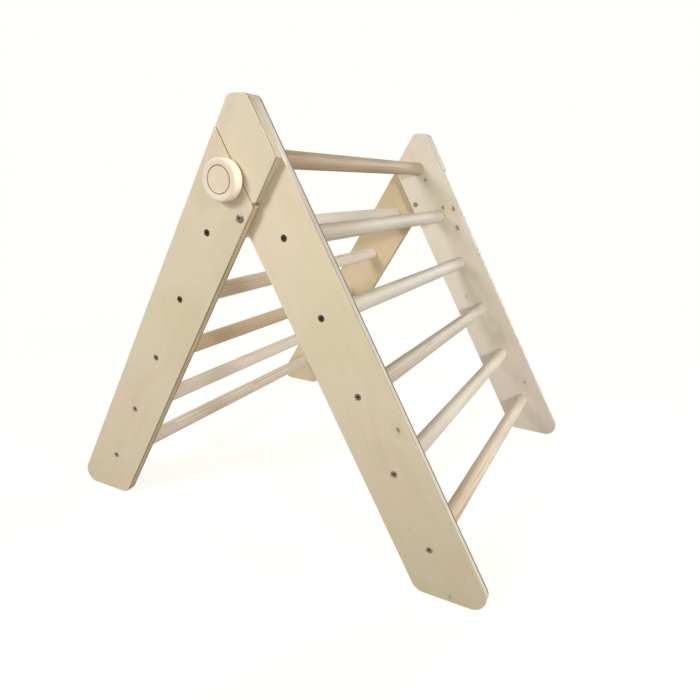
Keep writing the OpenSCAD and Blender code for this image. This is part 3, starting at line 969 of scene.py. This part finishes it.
class TRIANGLE_OT_pivots(bpy.types.Operator):
    """Dress the pivot bolts, their sleeves and the washers between the boards"""
    bl_idname = "triangle.pivots"
    bl_label = "Pivots"

    def execute(self, context):
        look = context.scene.triangle_metal
        steel = shared("bright_steel", metal, look.bright, 0.30)
        white = shared("nylon", nylon)
        brass = shared("brass", metal, look.brass, 0.32)
        for side in SIDES:
            dress(f"pivot_bolt_{side}", steel)
            dress(f"pivot_sleeve_{side}", steel)
            dress(f"pivot_washer_{side}", white)
            dress(f"knob_insert_{side}", brass)
        dress("cap_dowels", shared("knob_wood", knob_wood))
        return {"FINISHED"}


class TRIANGLE_OT_studio(bpy.types.Operator):
    """Lay the floor, hang the lamps and set up the camera"""
    bl_idname = "triangle.studio"
    bl_label = "Floor, lamps and camera"

    # The floor's width, its colour to the lamps, its shown colour near the feet, and the stretch
    # from the middle over which that fades
    FLOOR = 9.0
    PALE = (0.72, 0.75, 0.80)
    SHOWN = (0.36, 0.36, 0.35)
    NEAR_FEET = (0.5, 1.9)
    # The shown background, and the colour of the light from all round
    WHITE = (1.0, 1.0, 0.965)
    SKY = (1.0, 0.88, 0.60)
    # The width of the camera's sensor in millimetres
    SENSOR = 36
    # Each lamp's place, aim, width, colour and beam in degrees
    LAMPS = {
        "key": ((-1.15, -2.87, 1.96), (0, -0.3, 0.45), 1.2, (0.975, 0.975, 1.0), 180),
        "side": ((2.8, 0.2, 0.6), (0.0, 0.1, 0.3), 0.8, (1.0, 0.99, 0.98), 180),
        "knob_beam": ((0.95, -0.43, 1.45), (0.0, -0.42, 0.66), 0.15, (0.93, 0.96, 1.0), 11),
        "far_beam": ((2.15, -1.35, 1.3), (0.15, 0.33, 0.4), 0.3, (0.92, 0.95, 1.0), 42),
        "back": ((1.0, 3.0, 1.3), (0, 0.3, 0.35), 1.6, (1.0, 0.99, 0.98), 180),
    }

    def floor(self, look):
        """A flat square round the origin, shown nearly white, that keeps the shadows."""
        half = self.FLOOR / 2
        corners = [(-half, -half, 0), (half, -half, 0), (half, half, 0), (-half, half, 0)]
        mesh = bpy.data.meshes.new("floor")
        mesh.from_pydata(corners, [], [(0, 1, 2, 3)])
        floor = bpy.data.objects.new("floor", mesh)
        bpy.context.scene.collection.objects.link(floor)
        s = Shader("floor_white")
        seen = s.add("ShaderNodeLightPath").outputs["Is Camera Ray"]
        near = s.fall(s.vector("LENGTH", s.place())["Value"], *self.NEAR_FEET)
        s.finish(s.mix(seen, self.PALE, s.mix(near, (0, 0, 0), self.SHOWN)), 1.0, specular=0.0)
        glow = s.less(1.0, s.times(near, 1 - look.floor_glow))
        s.feed(s.surface.inputs["Emission Color"], (*self.WHITE, 1))
        s.feed(s.surface.inputs["Emission Strength"], s.times(glow, seen))
        mesh.materials.append(s.material)

    def sky(self, look):
        """White for the camera, reflections and glass, and for the rest a light from all round
        that grows towards the zenith."""
        world = bpy.data.worlds.new("sky")
        bpy.context.scene.world = world
        world.use_nodes = True
        world.node_tree.nodes.clear()
        s = Nodes(world.node_tree)
        up = s.axes(s.add("ShaderNodeTexCoord").outputs["Generated"])["Z"]
        strength = s.math("MULTIPLY_ADD", up, look.sky * look.zenith, look.sky)
        plain = s.fed("ShaderNodeBackground", (*self.SKY, 1), strength)
        shown = s.fed("ShaderNodeBackground", (*self.WHITE, 1))
        rays = s.add("ShaderNodeLightPath").outputs
        seen = rays["Is Camera Ray"]
        for kind in ("Is Glossy Ray", "Is Transmission Ray"):
            seen = s.math("MAXIMUM", seen, rays[kind])
        blend = s.fed("ShaderNodeMixShader", seen, plain.outputs[0], shown.outputs[0])
        s.fed("ShaderNodeOutputWorld", blend.outputs[0])

    def lamp(self, name, power, place, aim, width, tone, beam):
        """A round area lamp that faces its aim."""
        light = bpy.data.lights.new(name, "AREA")
        light.shape = "DISK"
        light.size = width
        light.energy = power
        light.color = tone
        light.spread = math.radians(beam)
        lamp = bpy.data.objects.new(name, light)
        bpy.context.scene.collection.objects.link(lamp)
        lamp.location = place
        lamp.visible_camera = False
        lamp.rotation_euler = (Vector(aim) - Vector(place)).to_track_quat("-Z", "Y").to_euler()

    def camera(self, look):
        """The camera's view runs down by the dip, turned by the heading and then rolled."""
        data = bpy.data.cameras.new("camera")
        data.lens = look.lens
        data.sensor_width = self.SENSOR
        data.shift_x, data.shift_y = look.shift
        camera = bpy.data.objects.new("camera", data)
        bpy.context.scene.collection.objects.link(camera)
        camera.location = look.eye
        view = Vector((-math.sin(look.heading) * math.cos(look.dip),
                       math.cos(look.heading) * math.cos(look.dip), -math.sin(look.dip)))
        turn = view.to_track_quat("-Z", "Y") @ Quaternion((0, 0, 1), look.roll)
        camera.rotation_euler = turn.to_euler()
        bpy.context.scene.camera = camera

    def execute(self, context):
        look = context.scene.triangle_studio
        self.floor(look)
        self.sky(look)
        for name, build in self.LAMPS.items():
            self.lamp(name, getattr(look, name), *build)
        self.camera(look)
        context.scene.view_settings.view_transform = "Standard"
        return {"FINISHED"}


class TRIANGLE_PT_panel(bpy.types.Panel):
    """The sidebar panel that lists the settings and steps"""
    bl_label = "Climbing triangle"
    bl_idname = "TRIANGLE_PT_panel"
    bl_space_type = "VIEW_3D"
    bl_region_type = "UI"
    bl_category = "Triangle"

    def draw(self, context):
        for name in SETTINGS:
            box = self.layout.box()
            box.label(text=name.replace("triangle_", "").title())
            group = getattr(context.scene, name)
            for key in group.bl_rna.properties.keys():
                if key not in ("rna_type", "name"):
                    box.prop(group, key)
        for step in STEPS:
            self.layout.operator(step.bl_idname)


SETTINGS = {
    "triangle_plywood": TrianglePlywood,
    "triangle_dowel": TriangleDowel,
    "triangle_knob": TriangleKnob,
    "triangle_metal": TriangleMetal,
    "triangle_studio": TriangleStudio,
}
STEPS = (
    TRIANGLE_OT_boards,
    TRIANGLE_OT_rungs,
    TRIANGLE_OT_screws,
    TRIANGLE_OT_knobs,
    TRIANGLE_OT_pivots,
    TRIANGLE_OT_studio,
)


def register():
    """Registers the classes and gives the scene its settings."""
    for kind in (*SETTINGS.values(), *STEPS, TRIANGLE_PT_panel):
        bpy.utils.register_class(kind)
    for name, kind in SETTINGS.items():
        setattr(bpy.types.Scene, name, PointerProperty(type=kind))


def unregister():
    """Takes back what register does."""
    for name in SETTINGS:
        delattr(bpy.types.Scene, name)
    for kind in reversed((*SETTINGS.values(), *STEPS, TRIANGLE_PT_panel)):
        bpy.utils.unregister_class(kind)


def main():
    """Makes every piece and the stage."""
    register()
    for step in STEPS:
        group, name = step.bl_idname.split(".")
        getattr(getattr(bpy.ops, group), name)()


if __name__ == "__main__":
    main()
